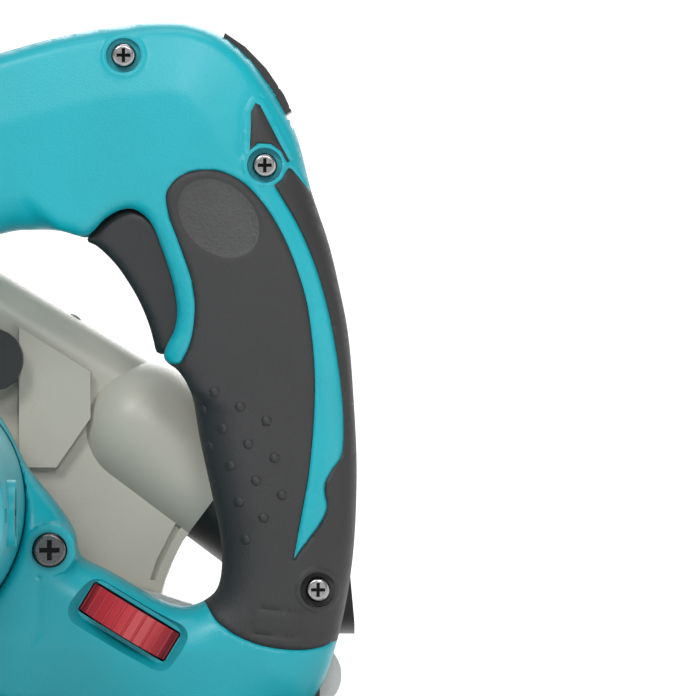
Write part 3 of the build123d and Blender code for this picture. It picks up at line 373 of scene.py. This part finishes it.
PANEL_LEFT = [
    (88, 150.4), (91.4, 150.4), (94, 149.4), (96.4, 149.6), (97.8, 151.8), (99.6, 156.3), (100.5, 161.3),
    (100.8, 166.2), (100.5, 170.3), (99.6, 174.8), (97.8, 180.2), (95.5, 186.5), (93.5, 191.9),
]
PANEL_TOP = [
    (92.4, 197), (92.6, 200.2), (95.1, 203.6), (97.8, 205.4), (101.4, 206.4), (105, 206.6), (108.5, 206.1),
    (112.6, 204.5), (116.2, 202), (119.8, 198.2), (122.9, 194.1), (126.1, 188.7), (128.8, 182.9),
    (131.5, 175.7), (133.8, 167.6), (135.1, 159), (135.9, 151), (136.2, 142), (135.7, 130), (134.6, 118.5),
    (133.9, 113.6), (131.6, 101.2),
]
STRIP_LEFT = [
    (130, 92.1), (134.9, 98.6), (138.2, 103.2), (139.8, 107.4), (139.2, 110.4), (139.2, 114.3),
    (141.4, 118.5), (144.2, 123.2), (144.5, 134.5), (143.4, 146.3), (141.9, 155.9), (140.5, 163.1),
    (138.7, 170.3), (136.5, 177.5), (133.3, 185.6), (130.2, 191.9), (127, 197.3), (124.2, 202),
]
STRIP_TOP = [(126.6, 203.8), (128.4, 207.2), (130.6, 205.4), (135, 200.4), (139, 199)]
SOFT_REST = [
    (152, 180), (156, 120), (152, 68), (142.6, 67.6), (138.6, 66.1), (133.2, 65.2), (126, 65.5),
    (118.8, 67), (112.2, 70), (106.8, 74.2), (103.2, 79.6), (98, 84), (94, 110), (88, 146),
]
WEDGE = [
    (118.7, 226.3), (117.4, 223.6), (117, 212.2), (119.4, 214.4), (123.2, 214.2), (126.2, 212),
    (127.9, 208.8),
    (128.8, 209), (125.6, 214.8), (120, 225.6),
]
PAD = (107.9, 192.3, 13.4, 9.9, -42)        # centre, long and short radius, tilt in degrees
SCREWS = [(79.8, 240.3), (121.4, 207.9), (137.1, 82.9), (-22, 200)]
CORNER = (58.2, 94.7)
BUMPS = [
    (106.7, 141.2), (114.2, 136.8), (122, 132.7), (109, 130.4), (116.6, 125.9), (124.3, 121.8),
    (111.3, 119.5), (118.9, 115.1), (126.5, 110.9), (113.8, 108.8), (121.1, 104.2), (115.8, 97.7),
    (102.6, 135.8), (104.6, 124.9),
]
BUMP_R, BUMP_HEIGHT = 1.5, 0.75
RECESS_R = 5.2                              # of the screw recesses
FIELD = [(117.4, 70.2), (131.3, 68.6), (132.2, 76), (118.2, 77.8)]
SEAM = [(54.6, 90), (54.6, 71), (48, 62)]
EDGE = 6.0                                  # half thickness left at the handle's outline
ROUND_OUT, ROUND_IN = 17.0, 13.0            # how far in the rounding reaches
BAND = 21.0                                 # width of the sloped band along the upper arm


def soft_loop():
    """The whole soft grip of one side, past the handle's outline where it wraps round it."""
    dense = []
    for stretch in (PANEL_LEFT + PANEL_TOP, STRIP_LEFT, STRIP_TOP, SOFT_REST):
        p = np.array(stretch, float)
        count = len(p)
        for i in range(count - 1):
            a, b, c, d = p[max(i - 1, 0)], p[i], p[i + 1], p[min(i + 2, count - 1)]
            pieces = max(2, int(np.linalg.norm(c - b) / 1.3))
            for k in range(pieces):
                t = k / pieces
                dense.append(curve_point(a, b, c, d, t))
        dense.append(p[-1])
    return np.array(dense)


def rounding(d, reach, fall):
    """How far the surface falls at a distance d from an edge that is rounded over reach."""
    t = np.clip(d / reach, 0, 1)
    return fall * (1 - np.sqrt(1 - (1 - t) ** 2))


def crease(d, depth, width):
    """The depth of a soft groove at a distance d from its line."""
    return depth * np.exp(-(d / width) ** 2)


def smoothstep(t):
    t = np.clip(t, 0, 1)
    return t * t * (3 - 2 * t)


def body_height(p):
    """Distance of the plain rounded handle's surface from the parting plane."""
    d_out, d_hole = distance(p, OUTER), distance(p, HOLE)
    d_trigger = distance(p, np.array(TRIGGER_EDGE, float), closed=False)
    by_trigger = smoothstep(1 - (d_trigger - d_hole) / 5)
    fall = (HALF - EDGE) * (1 - by_trigger) + 3.0 * by_trigger
    reach = ROUND_IN * (1 - by_trigger) + 5.0 * by_trigger
    arm = smoothstep((p[:, 1] - 196) / 16) * smoothstep((128 - p[:, 0]) / 14)
    foot = smoothstep((72 - p[:, 1]) / 10) * smoothstep((p[:, 0] - 30) / 10)
    foot = foot * smoothstep((128 - p[:, 0]) / 16)
    bevel = np.clip((BAND - d_out) / (BAND - 5), 0, 1) * 2.6 + rounding(d_out, 5.0, HALF - EDGE - 2.6)
    smooth = rounding(d_out, ROUND_OUT, HALF - EDGE)
    banded = np.clip(arm + foot, 0, 1)
    h = HALF - banded * bevel - (1 - banded) * smooth - rounding(d_hole, reach, fall)
    r_motor = np.hypot(p[:, 0] - MOTOR[0], p[:, 1] - MOTOR[1])
    h -= rounding(np.abs(r_motor - MOTOR_R - 0.3), 3.0, 2.2)
    return np.maximum(h, EDGE)


def handle_height(p, soft, motor_side):
    """The surface's distance from the parting plane, with its creases, pad, bumps and screw rims."""
    h = body_height(p)
    d_soft = distance(p, soft)
    in_soft = inside(p, soft)
    h += np.where(in_soft, 0.25 * smoothstep(d_soft / 0.8), 0)
    h -= crease(d_soft, 0.6, 0.45)
    h -= np.where(in_soft, 0, crease(d_soft - 2.3, 0.3, 0.4)) * (p[:, 1] > 100)
    d_wedge = distance(p, np.array(WEDGE, float))
    round_wedge = crease(d_wedge - 2.3, 0.35, 0.4) * ~inside(p, np.array(WEDGE, float))
    h -= crease(d_wedge, 0.5, 0.4) + round_wedge
    pad = ellipse_loop(*PAD)
    d_pad = distance(p, pad)
    h -= np.where(inside(p, pad), 0.45 * smoothstep(d_pad / 1.0), 0) + crease(d_pad, 0.18, 0.35)
    for x, z in BUMPS:
        r = np.hypot(p[:, 0] - x, p[:, 1] - z)
        h += BUMP_HEIGHT * np.sqrt(np.clip(1 - (r / BUMP_R) ** 2, 0, 1))
    if motor_side:
        for x, z in SCREWS:
            r = np.hypot(p[:, 0] - x, p[:, 1] - z)
            h += crease(r - 6.0, 0.5, 0.55)
        d_field = distance(p, np.array(FIELD, float))
        h -= crease(d_field, 0.4, 0.35)
        d_seam = distance(p, np.array(SEAM, float), closed=False)
        h -= crease(d_seam, 0.5, 0.4)
        r = np.hypot(p[:, 0] - CORNER[0], p[:, 1] - CORNER[1])
        h = np.maximum(h, EDGE + (HALF - 0.1 - EDGE) * smoothstep((9.2 - r) / 1.6))
    return h


def triangulate(loops, spots, area_loop, spacing):
    """A fine triangulation with the loops as edges; spots are free points."""
    points, edges = [], []
    for loop in loops:
        start, count = len(points), len(loop)
        points.extend(loop)
        edges.extend((start + i, start + (i + 1) % count) for i in range(count))
    fixed = np.array(points)
    low, high = area_loop.min(0), area_loop.max(0)
    rows = np.arange(low[1], high[1], spacing * 0.87)
    grid = np.array([(x + (k % 2) * spacing / 2, z) for k, z in enumerate(rows)
                     for x in np.arange(low[0], high[0], spacing)])
    grid = grid[inside(grid, area_loop)]
    free = np.vstack([grid, spots]) if len(spots) else grid
    gap = np.full(len(free), 1e9)
    for chunk in np.array_split(fixed, max(1, len(fixed) // 200)):
        reach = np.hypot(free[:, None, 0] - chunk[:, 0], free[:, None, 1] - chunk[:, 1])
        gap = np.minimum(gap, reach.min(1))
    free = free[gap > 0.45]
    every = [Vector(p) for p in np.vstack([fixed, free])]
    found = delaunay_2d_cdt(every, edges, [], 0, 1e-4)
    return np.array([(v.x, v.y) for v in found[0]]), [tuple(f) for f in found[2]]


SHARP_ANGLE = math.radians(50)


def mesh_object(name, points, faces, material, body):
    """A smooth piece from its points and faces, riding on a body."""
    mesh = bpy.data.meshes.new(name)
    mesh.from_pydata([tuple(p) for p in points], [], faces)
    mesh.validate()
    build = bmesh.new()
    build.from_mesh(mesh)
    bmesh.ops.recalc_face_normals(build, faces=build.faces)
    build.to_mesh(mesh)
    build.free()
    mesh.polygons.foreach_set("use_smooth", [True] * len(mesh.polygons))
    mesh.set_sharp_from_angle(angle=SHARP_ANGLE)
    mesh.materials.append(material)
    piece = bpy.data.objects.new(name, mesh)
    bpy.context.scene.collection.objects.link(piece)
    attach(piece, body)
    return piece


def raise_solid(flat, triangles, height, side, foot=0.03):
    """Closes a triangulated region into a solid between the parting plane and the height above it."""
    used = sorted({i for t in triangles for i in t})
    number = {old: new for new, old in enumerate(used)}
    count = len(used)
    top = [(flat[i][0] * MM, (PART_Y + side * height[i]) * MM, flat[i][1] * MM) for i in used]
    base = [(flat[i][0] * MM, (PART_Y + side * foot) * MM, flat[i][1] * MM) for i in used]
    faces, seen = [], {}
    for t in triangles:
        a, b, c = (number[i] for i in t)
        faces.append((a, b, c))
        faces.append((c + count, b + count, a + count))
        for edge in ((a, b), (b, c), (c, a)):
            seen[edge] = True
    for a, b in list(seen):
        if (b, a) not in seen:
            faces.append((b, a, a + count, b + count))
    return top + base, faces


def cut(piece, tools):
    """Takes the tool solids out of a piece."""
    for tool in tools:
        change = piece.modifiers.new("cut", "BOOLEAN")
        change.operation = "DIFFERENCE"
        change.solver = "EXACT"
        change.object = tool
    bpy.context.view_layer.update()
    shaped = bpy.data.meshes.new_from_object(piece.evaluated_get(bpy.context.evaluated_depsgraph_get()))
    piece.modifiers.clear()
    old = piece.data
    piece.data = shaped
    bpy.data.meshes.remove(old)
    piece.data.polygons.foreach_set("use_smooth", [True] * len(piece.data.polygons))
    piece.data.set_sharp_from_angle(angle=SHARP_ANGLE)


def tool_solid(loop_low, y_low, loop_high, y_high):
    """A cutter between two loops of the same length, in x and z, at two y values."""
    count = len(loop_low)
    points = [(x * MM, y_low * MM, z * MM) for x, z in loop_low]
    points += [(x * MM, y_high * MM, z * MM) for x, z in loop_high]
    faces = [tuple(range(count))[::-1], tuple(range(count, 2 * count))]
    faces += [(i, (i + 1) % count, (i + 1) % count + count, i + count) for i in range(count)]
    mesh = bpy.data.meshes.new("tool")
    mesh.from_pydata(points, [], faces)
    build = bmesh.new()
    build.from_mesh(mesh)
    bmesh.ops.recalc_face_normals(build, faces=build.faces)
    build.to_mesh(mesh)
    build.free()
    tool = bpy.data.objects.new("tool", mesh)
    bpy.context.scene.collection.objects.link(tool)
    return tool


def room_tool(loop, half_width):
    """A cutter that spans the parting plane."""
    return tool_solid(loop, PART_Y - half_width, loop, PART_Y + half_width)


def slot_loop(x, z, length, width, tilt, corner=3.0):
    """A rounded rectangle."""
    found = []
    for cx, cz, start in ((1, 1, 0), (-1, 1, 90), (-1, -1, 180), (1, -1, 270)):
        for k in range(7):
            a = math.radians(start + 15 * k)
            found.append((cx * (length / 2 - corner) + corner * math.cos(a),
                          cz * (width / 2 - corner) + corner * math.sin(a)))
    c, s = math.cos(math.radians(tilt)), math.sin(math.radians(tilt))
    return np.array([(x + u * c - v * s, z + u * s + v * c) for u, v in found])


TRIGGER_ROOM = [(66, 188), (78, 198), (92, 196), (104, 186), (108, 165), (104, 146), (88, 146), (80, 170)]
TRIGGER_ROOM_HALF = 13.5                    # half widths of the two rooms across the parting plane
LEVER_ROOM = [(101, 236), (108, 254), (134, 232), (128, 214), (118, 216)]
LEVER_ROOM_HALF = 7.5


def ring_spots(rings):
    """Points on lines set off from each outline, so that its creases have mesh on both sides."""
    found = []
    for line, offsets in rings:
        along = np.roll(line, -1, axis=0) - np.roll(line, 1, axis=0)
        along /= np.linalg.norm(along, axis=1)[:, None] + 1e-9
        for amount in offsets:
            found.extend(line + amount * np.stack([along[:, 1], -along[:, 0]], axis=1))
    return found


def handle_spots(soft, seat, wedge_line, field, pad):
    """The free mesh points of a handle half: round bumps and screws, and beside each outline."""
    spots = []
    for x, z in BUMPS:
        for r in (0.0, 0.5, 1.0, 1.35, 1.55, 2.0):
            turns = np.linspace(0, 2 * math.pi, 1 if r == 0 else 10, endpoint=False)
            spots.extend((x + r * math.cos(a), z + r * math.sin(a)) for a in turns)
    for x, z in SCREWS:
        for r in (5.4, 5.7, 6.0, 6.3, 6.7, 7.3):
            spots.extend(circle_loop(x, z, r, 40))
    for r in (7.4, 7.9, 8.4, 8.9, 9.4):
        spots.extend(circle_loop(CORNER[0], CORNER[1], r, 44))
    spots.extend(ring_spots((
        (OUTER, (-0.25, -0.7, -1.5, -2.6, -4.0, -5.0)),
        (HOLE, (0.25, 0.7, 1.5, 2.6, 4.0, 5.0)),
        (seat, (0.5, 1.1, 1.8, 2.6)),
        (soft, (-0.6, 0.6, -1.1, 1.7, 2.3, 2.9)),
        (pad, (-0.5, -1.0, 0.5)),
        (wedge_line, (0.5, 1.9, 2.3, 2.7)),
        (field, (-0.4, 0.4)),
    )))
    spots = np.array(spots)
    return spots[inside(spots, OUTER) & ~inside(spots, HOLE)]


def make_handle(materials):
    """Both halves: the shell, the grip's skin, the thumb pad and the wedge inlay, each its own piece."""
    soft = soft_loop()
    seat = circle_loop(MOTOR[0], MOTOR[1], MOTOR_R + 0.3, 120)
    wedge = np.array(WEDGE, float)
    field = straight_loop(FIELD)
    pad = ellipse_loop(*PAD)
    spots = handle_spots(soft, seat, straight_loop(WEDGE), field, pad)
    for name, side in (("left", -1), ("right", 1)):
        motor_side = side < 0
        loops = [OUTER, HOLE, soft, seat, wedge, pad] + ([field] if motor_side else [])
        flat, triangles = triangulate(loops, spots, OUTER, 1.7)
        height = handle_height(flat, soft, motor_side)
        middle = np.array([flat[list(t)].mean(0) for t in triangles])
        body = inside(middle, OUTER) & ~inside(middle, HOLE) & ~inside(middle, seat)
        in_pad, in_wedge = inside(middle, pad), inside(middle, wedge)
        in_soft = inside(middle, soft) & ~in_pad
        rest = ~(in_soft | in_pad | in_wedge)

        def region(piece, chosen, finish):
            kept = [t for t, keep in zip(triangles, body & chosen) if keep]
            points, faces = raise_solid(flat, kept, height, side)
            return mesh_object(f"{piece}_{name}", points, faces, materials[finish], "head")

        shell = region("handle_shell", rest, "teal_plastic")
        grip = region("grip_skin", in_soft, "soft_rubber")
        region("thumb_pad", in_pad, "stipple")
        inlay = region("wedge_inlay", in_wedge, "soft_rubber")
        trigger_tool = room_tool(TRIGGER_ROOM, TRIGGER_ROOM_HALF)
        lever_tool = room_tool(LEVER_ROOM, LEVER_ROOM_HALF)
        tools = [trigger_tool, lever_tool]
        if motor_side:
            tools += pocket_tools()
        cut(shell, tools)
        cut(grip, tools)
        cut(inlay, [lever_tool])
        for tool in tools:
            bpy.data.objects.remove(tool)
        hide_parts(f"handle_{name}_half")
        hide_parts(f"soft_grip_{name}")


def pocket_tools():
    """Cutters for the screw recesses, the dial's dished pocket and the slot under the dial."""
    tools = []
    for x, z in SCREWS:
        mouth, bottom = circle_loop(x, z, RECESS_R + 0.15), circle_loop(x, z, RECESS_R - 0.1)
        tools.append(tool_solid(mouth, FACE_Y - 3, bottom, FACE_Y + 4.6))
    wide = slot_loop(DIAL[0], DIAL[2], 36, 18, DIAL_TILT, 5)
    narrow = slot_loop(DIAL[0], DIAL[2], 30.5, 12.5, DIAL_TILT, 3)
    tools.append(tool_solid(wide, FACE_Y - 0.6, narrow, FACE_Y + 5.5))
    slot = slot_loop(DIAL[0], DIAL[2], 30, 10.2, DIAL_TILT, 1)
    tools.append(tool_solid(slot, FACE_Y + 3, slot, PART_Y + 2))
    return tools


def make_trigger(materials):
    """The trigger with a crowned finger face, between its two sides."""
    outline = smooth_loop([
        (68.9, 186.2), (71.6, 184.3), (74.2, 182.1), (76.6, 179.6), (78.8, 176.9), (82.6, 171), (85.3, 165.7),
        (87.3, 160.5), (88.6, 155.8), (89.4, 152.9), (92, 152.2), (95.6, 153.4), (98, 159), (98.9, 166),
        (97.6, 175), (95.5, 182), (91.5, 190.5), (88, 194), (82.5, 195.8), (77.8, 194.6), (73, 191),
    ], 1.1)
    flat, triangles = triangulate([outline], np.zeros((0, 2)), outline, 1.5)
    middle = np.array([flat[list(t)].mean(0) for t in triangles])
    triangles = [t for t, keep in zip(triangles, inside(middle, outline)) if keep]
    d = distance(flat, outline)
    height = 12.9 - rounding(d, 3.2, 2.6)
    top, faces = raise_solid(flat, triangles, height, -1, foot=0)
    count = len(top) // 2
    points = list(top[:count]) + [(x, 2 * PART_Y * MM - y, z) for x, y, z in top[:count]]
    black = materials["black_plastic"]
    piece = mesh_object("trigger_lever", points, faces, black, "trigger")
    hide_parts("trigger")


make_camera()
make_studio()
materials = make_materials()
materials["clear_window"] = clear_plastic()
materials["screw_steel_recess_shade"] = screw_steel_recess_shade()
paint_frame(materials)
make_handle(materials)
make_trigger(materials)
